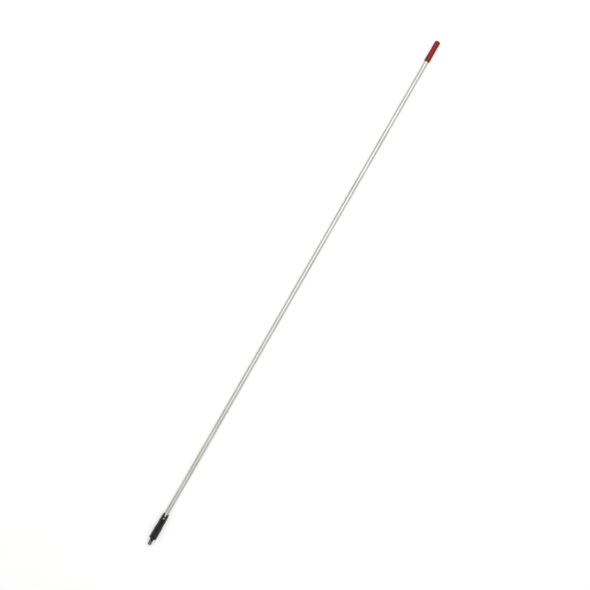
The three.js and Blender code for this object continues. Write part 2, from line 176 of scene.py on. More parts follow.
def on_axis(x, radius, angle):
    """The point at a radius and an angle about the pole's axis; angle 0 is the top."""
    return Vector((x, -radius * math.sin(angle), axis_height + radius * math.cos(angle)))


def turned(outline, sides=96):
    """Closes a surface around the pole's axis through rings, given in order along its outline.

    Each ring is an (x, radius) pair, or a function of the angle that returns such a pair.
    """
    builder = bmesh.new()
    rings = []
    for ring in outline:
        if not callable(ring) and ring[1] <= 0:
            rings.append([builder.verts.new(on_axis(ring[0], 0, 0))] * sides)
            continue
        verts = []
        for k in range(sides):
            angle = 2 * math.pi * k / sides
            x, radius = ring(angle) if callable(ring) else ring
            verts.append(builder.verts.new(on_axis(x, radius, angle)))
        rings.append(verts)
    for ring, following in zip(rings, rings[1:] + rings[:1]):
        for k in range(sides):
            corners = dict.fromkeys((ring[k - 1], ring[k], following[k], following[k - 1]))
            if len(corners) > 2:
                builder.faces.new(list(corners))
    return builder


def add_piece(name, builder, material, node, body, sharp=35):
    """Makes a built mesh a piece that stands for a CAD node and rides on its body."""
    bmesh.ops.recalc_face_normals(builder, faces=builder.faces)
    mesh = bpy.data.meshes.new(name)
    builder.to_mesh(mesh)
    builder.free()
    mesh.materials.append(material)
    mesh.shade_smooth()
    mesh.set_sharp_from_angle(angle=math.radians(sharp))
    piece = bpy.data.objects.new(name, mesh)
    bpy.context.scene.collection.objects.link(piece)
    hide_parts(node)
    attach(piece, body)
    return piece


def tube_outline(low, high, radius, wall):
    """A tube's outline, ringed along its length so that no face is very long."""
    span = (high - low - 2 * TUBE_EDGE) / TUBE_SPANS
    places = [low + TUBE_EDGE + span * k for k in range(TUBE_SPANS + 1)]
    outside = [(x, radius) for x in places]
    ends = [(high, radius - TUBE_EDGE), (high, radius - wall)]
    inside = [(x, radius - wall) for x in reversed(places)]
    return [*outside, *ends, *inside, (low, radius - wall), (low, radius - TUBE_EDGE)]


def rod(radius, half):
    """A round bar centred on the origin, for drilling right through the pole."""
    return turned([(-half, 0), (-half, radius), (half, radius), (half, 0)], sides=48)


def pointing(builder, place, angle):
    """Swings a mesh turned along X so that X points out of the pole at an angle, at a place."""
    lift = Matrix.Translation((0, 0, axis_height))
    upright = Matrix.Rotation(-math.pi / 2, 4, "Y")
    swing = Matrix.Rotation(angle, 4, "X")
    move = Matrix.Translation((place, 0, 0)) @ lift @ swing @ upright @ lift.inverted()
    bmesh.ops.transform(builder, matrix=move, verts=builder.verts)
    return builder


def loose_object(builder):
    """An object for a cut, which is removed after it."""
    bmesh.ops.recalc_face_normals(builder, faces=builder.faces)
    mesh = bpy.data.meshes.new("cut")
    builder.to_mesh(mesh)
    builder.free()
    made = bpy.data.objects.new("cut", mesh)
    bpy.context.scene.collection.objects.link(made)
    return made


def cut(builder, cutters):
    """Takes the cutters' closed shapes out of a closed shape."""
    loose = [loose_object(shape) for shape in (builder, *cutters)]
    for cutter in loose[1:]:
        modifier = loose[0].modifiers.new("cut", "BOOLEAN")
        modifier.operation = "DIFFERENCE"
        modifier.solver = "EXACT"
        modifier.object = cutter
    result = bmesh.new()
    result.from_mesh(loose[0].evaluated_get(bpy.context.evaluated_depsgraph_get()).data)
    for made in loose:
        bpy.data.meshes.remove(made.data)
    bmesh.ops.dissolve_degenerate(result, dist=0.0005 * MM, edges=result.edges)
    return result


def rivet_drills():
    """Two bars across the pole, which drill the four holes for the ferrule's rivets."""
    return [pointing(rod(RIVET_HOLE_RADIUS, 20 * MM), rivet_place, math.pi / 2 * i) for i in range(2)]


aluminium = drawn_aluminium()
outer_outline = tube_outline(outer_low.x, outer_high.x, TUBE_RADIUS, TUBE_WALL)
outer_mesh = cut(turned(outer_outline), rivet_drills())
add_piece("outer_tube_drawn", outer_mesh, aluminium, "outer_tube", "outer_pole")


# ---------------------------------------------------------------------------------------------
# End plug: a black moulded cup pressed into the back end of the outer tube, under the grip, so
# that the tube's cut edge doesn't wear through the vinyl. The rear plug bottoms on its rim.
# ---------------------------------------------------------------------------------------------
PLUG_RADIUS = 9.4 * MM
PLUG_WALL = 1.6 * MM
PLUG_FACE_RADIUS = 6.4 * MM
PLUG_ROUND = 2.6 * MM
PLUG_FLOOR = 4.2 * MM
PLUG_EDGE = 0.4 * MM
plug_low, plug_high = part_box("end_plug")


def moulded_plastic(name, colour, roughness, grain=1500, level=0.4, wear=0.0, bloom=0.0):
    """Moulded plastic: fine spark texture, flow clouds, dust, bloom and paler rubbed edges."""
    sheen = {"Sheen_Weight": bloom, "Sheen_Roughness": 0.5}
    finish = Finish(name, colour, Roughness=roughness, Specular_IOR_Level=level, **sheen)
    texture = finish.noise(grain, detail=3, roughness=0.7)
    flow = finish.noise(45, (0.4, 1, 1), detail=3, distortion=0.8)
    dust = finish.ramp(finish.noise(160, detail=5, roughness=0.7), (0.58, 0.0), (0.80, 1.0))
    edge = finish.ramp(finish.node("NewGeometry", output="Pointiness"), (0.52, 0.0), (0.60, 1.0))
    rubbed = edge * (finish.noise(600, detail=4) + 0.2) * wear
    tone = flow * 0.7 + texture * 0.3
    low = tuple(0.80 * c for c in colour)
    high = tuple(1.25 * c + 0.002 for c in colour)
    pale = tuple(1.6 * c + 0.03 for c in colour)
    clean = finish.ramp(tone, (0.35, low), (0.65, high))
    finish.feed(Base_Color=finish.blend(rubbed + dust * 0.12, clean, pale))
    finish.feed(Roughness=tone * 0.2 + dust * 0.10 - rubbed * 0.2 + (roughness - 0.1))
    finish.bump(texture + dust * 0.2, 0.00004, 0.5)
    return finish.material


def bends(steps):
    """Even angles from none to a quarter turn, for rounding an edge."""
    return [math.pi / 2 * k / steps for k in range(steps + 1)]


def end_plug_outline():
    low, high = plug_low.x, plug_high.x
    bore = PLUG_RADIUS - PLUG_WALL
    floor = low + PLUG_FLOOR
    outline = [(low, 0), (low, PLUG_FACE_RADIUS)]
    for bend in bends(5)[1:]:
        reach = PLUG_FACE_RADIUS + (PLUG_RADIUS - PLUG_FACE_RADIUS) * math.sin(bend)
        outline.append((low + PLUG_ROUND * (1 - math.cos(bend)), reach))
    outline += [(high - PLUG_EDGE, PLUG_RADIUS), (high, PLUG_RADIUS - PLUG_EDGE), (high, bore)]
    return outline + [(floor + PLUG_EDGE, bore), (floor, bore - PLUG_EDGE), (floor, 0)]


black_moulding = moulded_plastic("black_moulding", (0.008, 0.008, 0.0075), 0.42, level=0.25)
plug_mesh = turned(end_plug_outline())
add_piece("end_plug_moulded", plug_mesh, black_moulding, "end_plug", "outer_pole")


# ---------------------------------------------------------------------------------------------
# End grip: a cap of soft red vinyl, dipped on a former and pushed over the back of the tube. It
# has a domed end, the orange-peel gloss of a dip moulding, and a thicker cuff at its open end.
# ---------------------------------------------------------------------------------------------
GRIP_RADIUS = 11.95 * MM
GRIP_WAIST = 0.15 * MM
GRIP_BORE = 11.0 * MM
CUFF_RADIUS = 12.35 * MM
CUFF_LENGTH = 19 * MM
CUFF_LIP = 0.9 * MM
CUFF_RAMP = 4 * MM
DOME_LENGTH = 8.5 * MM
GRIP_END_SKIN = 2 * MM
GRIP_FLOOR_RADIUS = 7 * MM
grip_low, grip_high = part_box("end_grip")


def red_vinyl():
    """Dip-moulded vinyl: soft gloss over slow orange peel, with a little handling dirt."""
    finish = Finish("red_vinyl", (0.26, 0.008, 0.010), Roughness=0.38, Specular_IOR_Level=0.3)
    peel = finish.noise(190, detail=2, roughness=0.4)
    clouds = finish.noise(38, (0.6, 1, 1), detail=4, roughness=0.6, distortion=0.5)
    specks = finish.ramp(finish.noise(900, detail=3), (0.66, 0.0), (0.76, 1.0))
    scratches = finish.noise(260, (1, 0.5, 0.5), detail=6, distortion=1.2)
    scuffs = finish.ramp(scratches, (0.60, 0.0), (0.74, 1.0))
    clean = finish.ramp(clouds, (0.35, (0.24, 0.006, 0.008)), (0.68, (0.30, 0.010, 0.012)))
    along = finish.node("SeparateXYZ", {}, {0: finish.node("TexCoord", output="Object")})
    near_edge = finish.node("MapRange", {}, {0: along, 1: grip_high.x - CUFF_LENGTH, 2: grip_high.x})
    grubby = finish.ramp(near_edge * 0.6 + clouds * 0.8, (0.45, 0.0), (0.85, 1.0))
    stained = finish.blend(grubby * 0.6, clean, (0.15, 0.03, 0.012))
    finish.feed(Base_Color=finish.blend(scuffs * 0.25 + specks * 0.15, stained, (0.13, 0.03, 0.026)))
    finish.feed(Roughness=peel * 0.10 + clouds * 0.12 + scuffs * 0.20 + 0.13)
    finish.bump(peel + scuffs * 0.1 + specks * 0.1, 0.00018, 0.6)
    return finish.material


def grip_outline():
    low, high = grip_low.x, grip_high.x
    dome_end = low + DOME_LENGTH
    ramp_start = high - CUFF_LENGTH - CUFF_RAMP
    outline = [(low, 0)]
    for bend in bends(16)[1:]:
        outline.append((dome_end - DOME_LENGTH * math.cos(bend), GRIP_RADIUS * math.sin(bend)))
    for k in range(1, 20):
        waist = GRIP_WAIST * math.sin(math.pi * k / 20)
        outline.append((dome_end + (ramp_start - dome_end) * k / 20, GRIP_RADIUS - waist))
    for k in range(9):
        rise = (CUFF_RADIUS - GRIP_RADIUS) * (1 - math.cos(math.pi * k / 8)) / 2
        outline.append((ramp_start + CUFF_RAMP * k / 8, GRIP_RADIUS + rise))
    for bend in bends(8):
        lip = CUFF_RADIUS - CUFF_LIP * (1 - math.cos(bend))
        outline.append((high - CUFF_LIP * (1 - math.sin(bend)), lip))
    floor = low + GRIP_END_SKIN
    outline += [(high, GRIP_BORE + 0.3 * MM), (high - 0.4 * MM, GRIP_BORE)]
    outline += [(floor + 4.2 * MM, GRIP_BORE), (floor + 0.4 * MM, GRIP_FLOOR_RADIUS), (floor, 0)]
    return outline


grip_mesh = turned(grip_outline())
add_piece("end_grip_dipped", grip_mesh, red_vinyl(), "end_grip", "outer_pole", 50)


# ---------------------------------------------------------------------------------------------
# Front bush: a thin nylon liner in the mouth of the outer tube. It guides the inner tube, and
# its back edge stops the guide ring at full extension. The ferrule's rivets pin it in place.
# ---------------------------------------------------------------------------------------------
BUSH_RADIUS = 9.4 * MM
BUSH_BORE = 8.8 * MM
bush_low, bush_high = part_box("front_bush")


def ring_outline(low, high, radius, bore, edge=0.25 * MM):
    """A plain ring's outline, with its outer edges broken."""
    outside = [(low, radius - edge), (low + edge, radius), (high - edge, radius), (high, radius - edge)]
    return [*outside, (high, bore), (low, bore)]


natural_nylon = moulded_plastic("natural_nylon", (0.62, 0.58, 0.49), 0.5, grain=1100)
bush_outline = ring_outline(bush_low.x, bush_high.x, BUSH_RADIUS, BUSH_BORE)
bush_mesh = cut(turned(bush_outline), rivet_drills())
add_piece("front_bush_moulded", bush_mesh, natural_nylon, "front_bush", "outer_pole")


# ---------------------------------------------------------------------------------------------
# Ferrule: one dark moulding. Pointed tongues hug the tube, with V-shaped gaps between them, then
# comes a thick body with moulded spanner flats, and the threaded boss that takes the sleeve.
# ---------------------------------------------------------------------------------------------
CROWN_RADIUS = 13.7 * MM
CROWN_BORE = 10.8 * MM
CROWN_LENGTH = 30 * MM
NOTCH_DEPTH = 18 * MM
NOTCH_HALF_WIDTH = 8.4 * MM
BODY_RADIUS = 15.1 * MM
BODY_FLAT = 14.4 * MM
BODY_EDGE = 0.9 * MM
BODY_RISE = 2.6 * MM
BODY_RINGS = 70
FLAT_BACK_MARGIN = 3 * MM
FLAT_FRONT_MARGIN = 2.4 * MM
FLAT_FADE = 1.6 * MM
FLAT_COUNT = 8
TONGUE_COUNT = 4
TONGUE_EDGE = 1.6 * MM
TONGUE_ROUND_SHARE = 0.14
TONGUE_SOFTNESS = 0.7 * MM
SHOULDER_PLACE = 63 * MM
SOCKET_RADIUS = 11.0 * MM
BOSS_RADIUS = 11.9 * MM
LIP_RADIUS = 8.9 * MM
SEAT_BACK_RADIUS = 9.6 * MM
SEAT_FRONT_RADIUS = 11.0 * MM
SEAT_LENGTH = 14 * MM
LOCK_CREST_RADIUS = 12.8 * MM
LOCK_LEAD = 3.0 * MM
LOCK_TURNS = 4
LOCK_THREAD_PLACE = 8 * MM
LOCK_HALF_WIDTH = 0.75 * MM
LOCK_FLANK = 0.4 * MM
LOCK_STEP = 0.25 * MM
LOCK_ZONE_PLACE = 6 * MM
LOCK_ZONE_RINGS = 60
RING_GROOVE_PLACE = 6.3 * MM
RING_GROOVE_WIDTH = 1.6 * MM
RING_GROOVE_DEPTH = 0.7 * MM
ferrule_low, ferrule_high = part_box("ferrule")
shoulder = ferrule_low.x + SHOULDER_PLACE


def smooth_step(value):
    t = min(1.0, max(0.0, value))
    return t * t * (3 - 2 * t)


def nearest_of(count, angle):
    """How far an angle is from the nearest of a count of even divisions; one lies at the top."""
    pitch = 2 * math.pi / count
    return abs((angle + pitch / 2) % pitch - pitch / 2)


def crown_edge(angle):
    """Where the crown's back edge lies: at the tongues' tips, or forward in the gaps."""
    across = CROWN_RADIUS * math.sin(nearest_of(TONGUE_COUNT, angle))
    depth = NOTCH_DEPTH * (1 - across / NOTCH_HALF_WIDTH)
    rounded = math.log(1 + math.exp(min(60, depth / TONGUE_SOFTNESS)))
    return ferrule_low.x + TONGUE_SOFTNESS * rounded


def ferrule_skin(along, angle):
    """The ferrule's outside radius at a distance from its back end."""
    rise = smooth_step((along - CROWN_LENGTH + BODY_RISE) / BODY_RISE)
    radius = CROWN_RADIUS + (BODY_RADIUS - CROWN_RADIUS) * rise
    start = smooth_step((along - CROWN_LENGTH - FLAT_BACK_MARGIN) / FLAT_FADE)
    stop = smooth_step((SHOULDER_PLACE - FLAT_FRONT_MARGIN - along) / FLAT_FADE)
    planed = min(radius, BODY_FLAT / math.cos(nearest_of(FLAT_COUNT, angle)))
    return radius + (planed - radius) * min(start, stop)


def lock_thread(x, angle, half_width, spare_turns=0):
    """The share of full height, from 0 to 1, of the lock's right-handed thread at a place."""
    phase = (angle / (2 * math.pi) + 0.25) % 1
    turn = (x - shoulder - LOCK_THREAD_PLACE) / LOCK_LEAD - phase
    wind = min(LOCK_TURNS - 1 + spare_turns, max(-spare_turns, round(turn)))
    offset = abs(turn - wind) * LOCK_LEAD
    return min(1.0, max(0.0, (half_width - offset) / LOCK_FLANK))


def ferrule_outline():
    low, front = ferrule_low.x, ferrule_high.x
    crown_end = low + CROWN_LENGTH - 3 * MM
    boss_height = LOCK_CREST_RADIUS - BOSS_RADIUS
    rings = []

    def crown_ring(share, sunk):
        def ring(angle):
            edge = crown_edge(angle)
            return edge + (crown_end - edge) * share, CROWN_RADIUS - sunk

        return ring

    def skin_ring(along):
        return lambda angle: (low + along, ferrule_skin(along, angle))

    def thread_ring(x):
        return lambda angle: (x, BOSS_RADIUS + boss_height * lock_thread(x, angle, LOCK_HALF_WIDTH))

    for bend in bends(8):
        share = TONGUE_ROUND_SHARE * (1 - math.cos(bend))
        rings.append(crown_ring(share, TONGUE_EDGE * (1 - math.sin(bend))))
    rest = 1 - TONGUE_ROUND_SHARE
    rings += [crown_ring(TONGUE_ROUND_SHARE + rest * k / 8, 0) for k in range(1, 9)]
    body_end = SHOULDER_PLACE - BODY_EDGE
    start = crown_end - low
    rings += [skin_ring(start + (body_end - start) * k / BODY_RINGS) for k in range(1, BODY_RINGS + 1)]
    for bend in bends(5)[1:]:
        x = shoulder - BODY_EDGE * (1 - math.sin(bend))
        rings.append((x, BODY_RADIUS - BODY_EDGE * (1 - math.cos(bend))))
    zone = shoulder + LOCK_ZONE_PLACE
    rings += [(shoulder, BOSS_RADIUS), (zone, BOSS_RADIUS)]
    rings += [thread_ring(zone + LOCK_STEP * k) for k in range(1, LOCK_ZONE_RINGS + 1)]
    groove_high = front - RING_GROOVE_PLACE
    groove_low = groove_high - RING_GROOVE_WIDTH
    groove = BOSS_RADIUS - RING_GROOVE_DEPTH
    rings += [(groove_low, BOSS_RADIUS), (groove_low, groove), (groove_high, groove)]
    rings += [(groove_high, BOSS_RADIUS), (front - 0.5 * MM, BOSS_RADIUS)]
    rings.append((front, BOSS_RADIUS - 0.4 * MM))
    rings += [(front, SEAT_FRONT_RADIUS), (front - SEAT_LENGTH, SEAT_BACK_RADIUS)]
    rings += [(shoulder + 2 * MM, SEAT_BACK_RADIUS - 0.4 * MM), (shoulder + 2 * MM, LIP_RADIUS)]
    rings += [(shoulder - 0.4 * MM, LIP_RADIUS), (shoulder - 0.4 * MM, SOCKET_RADIUS)]
    rings.append((low + CROWN_LENGTH, SOCKET_RADIUS))
    rings += [crown_ring(1.0, CROWN_RADIUS - CROWN_BORE), crown_ring(0.0, CROWN_RADIUS - CROWN_BORE)]
    return rings


dark_moulding = moulded_plastic(
    "dark_moulding", (0.006, 0.0057, 0.0035), 0.46, grain=1300, level=0.12, wear=0.6, bloom=0.6
)
ferrule_mesh = cut(turned(ferrule_outline(), sides=192), rivet_drills())
add_piece("ferrule_moulded", ferrule_mesh, dark_moulding, "ferrule", "outer_pole")


# ---------------------------------------------------------------------------------------------
# Ferrule rivets: bright aluminium rivets with domed heads, one below each gap of the crown. They
# go through the ferrule and the tube, and are set inside the bush's thickness.
# ---------------------------------------------------------------------------------------------
RIVET_HEAD_RADIUS = 3.7 * MM
RIVET_DOME = 1.25 * MM
RIVET_SEAT = 13.2 * MM
RIVET_SHANK_RADIUS = 1.6 * MM
RIVET_TAIL = 9.1 * MM
RIVET_RIM = 0.45 * MM


def bright_rivet():
    """Upset aluminium: bright and slightly cloudy, with nicks that hold grey dirt."""
    finish = Finish("bright_rivet", (0.45, 0.45, 0.42), Metallic=1.0, Roughness=0.3)
    nicks = finish.noise(1400, detail=4, roughness=0.65)
    clouds = finish.noise(300, detail=3)
    clean = finish.ramp(clouds, (0.35, (0.38, 0.38, 0.355)), (0.65, (0.52, 0.52, 0.49)))
    dirt = finish.ramp(nicks, (0.62, 0.0), (0.75, 0.5))
    finish.feed(Base_Color=finish.blend(dirt, clean, (0.2, 0.2, 0.185)))
    finish.feed(Roughness=nicks * 0.2 + clouds * 0.1 + 0.15)
    finish.bump(nicks, 0.00004, 0.4)
    return finish.material


def rivet_mesh(angle):
    """Turned along X, then swung to its angle about the pole's axis."""
    outline = [(RIVET_TAIL, 0), (RIVET_TAIL, RIVET_SHANK_RADIUS), (RIVET_SEAT, RIVET_SHANK_RADIUS)]
    outline += [(RIVET_SEAT, RIVET_HEAD_RADIUS - 0.1 * MM), (RIVET_SEAT + RIVET_RIM, RIVET_HEAD_RADIUS)]
    for bend in bends(8)[1:]:
        height = RIVET_SEAT + RIVET_RIM + RIVET_DOME * math.sin(bend)
        outline.append((height, RIVET_HEAD_RADIUS * math.cos(bend)))
    outline[-1] = (outline[-1][0], 0)
    return pointing(turned(outline, sides=48), rivet_place, angle)


rivet_finish = bright_rivet()
for i in range(TONGUE_COUNT):
    rivet = f"ferrule_rivet_{i + 1}"
    mesh = rivet_mesh(math.pi / 2 * i)
    add_piece(rivet + "_set", mesh, rivet_finish, rivet, "outer_pole", 45)


# ---------------------------------------------------------------------------------------------
# Sleeve stop ring and slip washer: plain bright steel, hidden in the lock. The ring sits in the
# boss's groove and keeps the sleeve on; the washer lets the sleeve turn without the collet.
# ---------------------------------------------------------------------------------------------
STOP_RING_RADIUS = 12.9 * MM
STOP_RING_BORE = 11.5 * MM
STOP_RING_GAP = 2.5 * MM
WASHER_RADIUS = 12.6 * MM
WASHER_BORE = 8.9 * MM


def drawn_steel():
    """Bright steel with drawing lines, slight heat tint and oil film."""
    finish = Finish("drawn_steel", (0.55, 0.56, 0.57), Metallic=1.0, Roughness=0.28)
    lines = finish.noise(1500, (1, 0.05, 1), detail=4, roughness=0.65)
    film = finish.noise(120, detail=4, distortion=0.6)
    finish.feed(Base_Color=finish.ramp(film, (0.3, (0.46, 0.46, 0.46)), (0.7, (0.62, 0.62, 0.61))))
    finish.feed(Roughness=lines * 0.2 + film * 0.12 + 0.14)
    finish.bump(lines, 0.00003, 0.4)
    return finish.material


def slot_cutter(low, high, width, reach, angle=0.0):
    """A square cutter that runs out from the pole's axis at an angle."""
    builder = bmesh.new()
    half = width / 2
    corners = [(0, -half), (reach, -half), (reach, half), (0, half)]
    ends = []
    for x in (low, high):
        turn = Matrix.Rotation(angle, 4, "X")
        places = [turn @ Vector((0, side, out)) for out, side in corners]
        ends.append([builder.verts.new((x, p.y, p.z + axis_height)) for p in places])
    for end in ends:
        builder.faces.new(end)
    for k in range(4):
        builder.faces.new((ends[0][k - 1], ends[0][k], ends[1][k], ends[1][k - 1]))
    return builder


steel = drawn_steel()
ring_low, ring_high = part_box("sleeve_stop_ring")
stop_ring = turned(ring_outline(ring_low.x, ring_high.x, STOP_RING_RADIUS, STOP_RING_BORE))
ring_gap = slot_cutter(ring_low.x - MM, ring_high.x + MM, STOP_RING_GAP, 16 * MM)
stop_ring = cut(stop_ring, [ring_gap])
add_piece("sleeve_stop_ring_cut", stop_ring, steel, "sleeve_stop_ring", "outer_pole")
washer_low, washer_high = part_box("slip_washer")
washer = turned(ring_outline(washer_low.x, washer_high.x, WASHER_RADIUS, WASHER_BORE))
add_piece("slip_washer_stamped", washer, steel, "slip_washer", "collet_set")


# ---------------------------------------------------------------------------------------------
# Collet: a tapered natural nylon ring with four slots. The sleeve pushes it into the ferrule's
# seat through the washer, and its fingers close on the inner tube.
# ---------------------------------------------------------------------------------------------
COLLET_BORE = 8.8 * MM
COLLET_FLANGE_RADIUS = 12.6 * MM
TAPER_GAP = 0.35 * MM
COLLET_SLOT = 1.0 * MM
COLLET_EDGE = 0.3 * MM
collet_low, collet_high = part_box("collet")


def collet_outline():
    back, mouth, front = collet_low.x, ferrule_high.x, collet_high.x
    flange = mouth + 1.5 * MM
    shoulder_radius = SEAT_FRONT_RADIUS - TAPER_GAP
    tail_radius = SEAT_BACK_RADIUS + 0.1 * MM - TAPER_GAP
    outline = [(back, tail_radius - COLLET_EDGE), (back + COLLET_EDGE, tail_radius)]
    outline += [(mouth, shoulder_radius), (flange, shoulder_radius)]
    outline += [(flange, COLLET_FLANGE_RADIUS - COLLET_EDGE), (flange + COLLET_EDGE, COLLET_FLANGE_RADIUS)]
    outline += [(front - COLLET_EDGE, COLLET_FLANGE_RADIUS), (front, COLLET_FLANGE_RADIUS - COLLET_EDGE)]
    return outline + [(front, COLLET_BORE), (back, COLLET_BORE)]


slots = [
    slot_cutter(collet_low.x - MM, ferrule_high.x - MM, COLLET_SLOT, 14 * MM, math.pi / 2 * (i + 0.5))
    for i in range(4)
]
collet_mesh = cut(turned(collet_outline()), slots)
add_piece("collet_moulded", collet_mesh, natural_nylon, "collet", "collet_set")


# ---------------------------------------------------------------------------------------------
# Twist sleeve: the dark ribbed nut that is turned by hand to lock the pole. It is one moulding
# with lengthwise ribs, plain bands at both ends, a thread inside and a rounded nose.
# ---------------------------------------------------------------------------------------------
SLEEVE_RADIUS = 15.9 * MM
RIB_COUNT = 16
RIB_HEIGHT = 0.8 * MM
RIB_CREST_SHARE = 0.10
RIB_FLANK_SHARE = 0.16
BAND_LENGTH = 2.6 * MM
BAND_RISE = 0.35 * MM
RIB_RUN_IN = 1.6 * MM
NOSE_ROUND = 2.0 * MM
BACK_ROUND = 0.7 * MM
CHAMBER_RADIUS = 13.2 * MM
SLEEVE_BORE = 12.2 * MM
MOUTH_RADIUS = 9.7 * MM
END_WALL_PLACE = 13.0 * MM
CHAMBER_PLACE = 27.9 * MM
THREADED_END = 24 * MM
THREADED_RINGS = 81
GROOVE_HALF_WIDTH = 1.1 * MM
GROOVE_GAP = 0.35 * MM
sleeve_low, sleeve_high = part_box("twist_sleeve")


def rib_height(angle):
    """Height of the ribs over the valleys; a valley lies at the top."""
    pitch = 2 * math.pi / RIB_COUNT
    share = nearest_of(RIB_COUNT, angle + pitch / 2) / pitch
    return RIB_HEIGHT * smooth_step((RIB_CREST_SHARE + RIB_FLANK_SHARE - share) / RIB_FLANK_SHARE)


def sleeve_outline():
    back, nose = sleeve_low.x, sleeve_high.x
    valley = SLEEVE_RADIUS - RIB_HEIGHT
    band = valley + BAND_RISE
    rings = []

    def ribbed_ring(x, share, sunk=0.0):
        def ring(angle):
            ribbed = valley + rib_height(angle)
            return x, band + (ribbed - band) * share - sunk

        return ring

    def threaded_ring(x):
        groove = LOCK_CREST_RADIUS + GROOVE_GAP - SLEEVE_BORE
        return lambda angle: (x, SLEEVE_BORE + groove * lock_thread(x, angle, GROOVE_HALF_WIDTH, 1))

    for bend in bends(5):
        x = back + BACK_ROUND * (1 - math.cos(bend))
        rings.append((x, band - BACK_ROUND * (1 - math.sin(bend))))
    band_end = back + BAND_LENGTH
    rings.append((band_end, band))
    rings += [ribbed_ring(band_end + RIB_RUN_IN * k / 6, smooth_step(k / 6)) for k in range(1, 7)]
    ribs_start = band_end + RIB_RUN_IN
    ribs_end = nose - NOSE_ROUND - 1.2 * MM
    rings += [ribbed_ring(ribs_start + (ribs_end - ribs_start) * k / 24, 1.0) for k in range(1, 25)]
    for k, bend in enumerate(bends(9)[1:], start=1):
        x = ribs_end + (nose - ribs_end) * math.sin(bend)
        sunk = NOSE_ROUND * (1 - math.cos(bend))
        rings.append(ribbed_ring(x, 1.0 - 0.9 * smooth_step(k / 7), sunk))
    wall = nose - END_WALL_PLACE
    step = shoulder + CHAMBER_PLACE
    rings += [(nose, MOUTH_RADIUS + 1.6 * MM), (nose - 0.3 * MM, MOUTH_RADIUS + 1.2 * MM)]
    rings += [(nose - 0.3 * MM, MOUTH_RADIUS + 0.5 * MM), (nose - 0.8 * MM, MOUTH_RADIUS)]
    rings += [(wall, MOUTH_RADIUS), (wall, CHAMBER_RADIUS), (step, CHAMBER_RADIUS), (step, SLEEVE_BORE)]
    rings += [threaded_ring(shoulder + THREADED_END - LOCK_STEP * k) for k in range(THREADED_RINGS)]
    rings += [(back + 2.5 * MM, SLEEVE_BORE), (back + 1.5 * MM, CHAMBER_RADIUS), (back, CHAMBER_RADIUS)]
    return rings


sleeve_moulding = moulded_plastic(
    "sleeve_moulding", (0.006, 0.0055, 0.0045), 0.5, grain=1200, level=0.12, wear=0.8, bloom=0.6
)
sleeve_mesh = turned(sleeve_outline(), sides=192)
add_piece(
    "twist_sleeve_moulded", sleeve_mesh, sleeve_moulding, "twist_sleeve", "twist_sleeve"
)


# ---------------------------------------------------------------------------------------------
# Guide ring and rear plug: natural nylon. The plug is pinned in the inner tube's back end, and
# the split ring turns on it and slides in the outer tube.
# ---------------------------------------------------------------------------------------------
INNER_RADIUS = 8.5 * MM
SPIGOT_RADIUS = 7.0 * MM
PIN_RADIUS = 1.5 * MM
PIN_HOLE_RADIUS = 1.85 * MM
GUIDE_RADIUS = 9.35 * MM
GUIDE_BORE = 7.8 * MM
GUIDE_SPLIT = 1.5 * MM
JOURNAL_RADIUS = 7.4 * MM
JOURNAL_LENGTH = 17.6 * MM
FLANGE_THICKNESS = 2.5 * MM
HEAD_LENGTH = 8 * MM
FLANGE_STEP = 0.5 * MM
guide_low, guide_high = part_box("guide_ring")
rear_low, rear_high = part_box("rear_plug")
rear_pin_low, rear_pin_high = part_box("rear_plug_pin")
rear_pin_place = (rear_pin_low.x + rear_pin_high.x) / 2


def rear_plug_outline():
    back, front = rear_low.x, rear_high.x
    journal = back + FLANGE_THICKNESS
    head = journal + JOURNAL_LENGTH
    shoulder_face = head + HEAD_LENGTH
    flange = INNER_RADIUS + FLANGE_STEP
    outline = [(back, 0), (back, INNER_RADIUS), (back + FLANGE_STEP, flange), (journal, flange)]
    outline += [(journal, JOURNAL_RADIUS), (head, JOURNAL_RADIUS)]
    outline += [(head, INNER_RADIUS), (shoulder_face, INNER_RADIUS), (shoulder_face, SPIGOT_RADIUS)]
    return outline + [(front - 2 * MM, SPIGOT_RADIUS), (front, SPIGOT_RADIUS - 1.2 * MM), (front, 0)]


def pin_drill(place):
    return pointing(rod(PIN_HOLE_RADIUS, 12 * MM), place, math.pi / 2)


def pin_mesh(place, reach):
    """A cross pin with slightly domed ends."""
    outline = [(-reach, 0), (-reach + 0.05 * MM, 0.8 * PIN_RADIUS), (-reach + 0.25 * MM, PIN_RADIUS)]
    outline += [(-x, radius) for x, radius in reversed(outline)]
    return pointing(turned(outline, sides=32), place, math.pi / 2)


guide_mesh = turned(ring_outline(guide_low.x, guide_high.x, GUIDE_RADIUS, GUIDE_BORE, 0.5 * MM))
guide_mesh = cut(guide_mesh, [slot_cutter(guide_low.x - MM, guide_high.x + MM, GUIDE_SPLIT, 12 * MM)])
add_piece("guide_ring_moulded", guide_mesh, natural_nylon, "guide_ring", "guide_ring")
rear_mesh = cut(turned(rear_plug_outline()), [pin_drill(rear_pin_place)])
add_piece("rear_plug_moulded", rear_mesh, natural_nylon, "rear_plug", "inner_pole")
rear_pin = pin_mesh(rear_pin_place, INNER_RADIUS - 0.1 * MM)
add_piece("rear_plug_pin_set", rear_pin, steel, "rear_plug_pin", "inner_pole", 45)


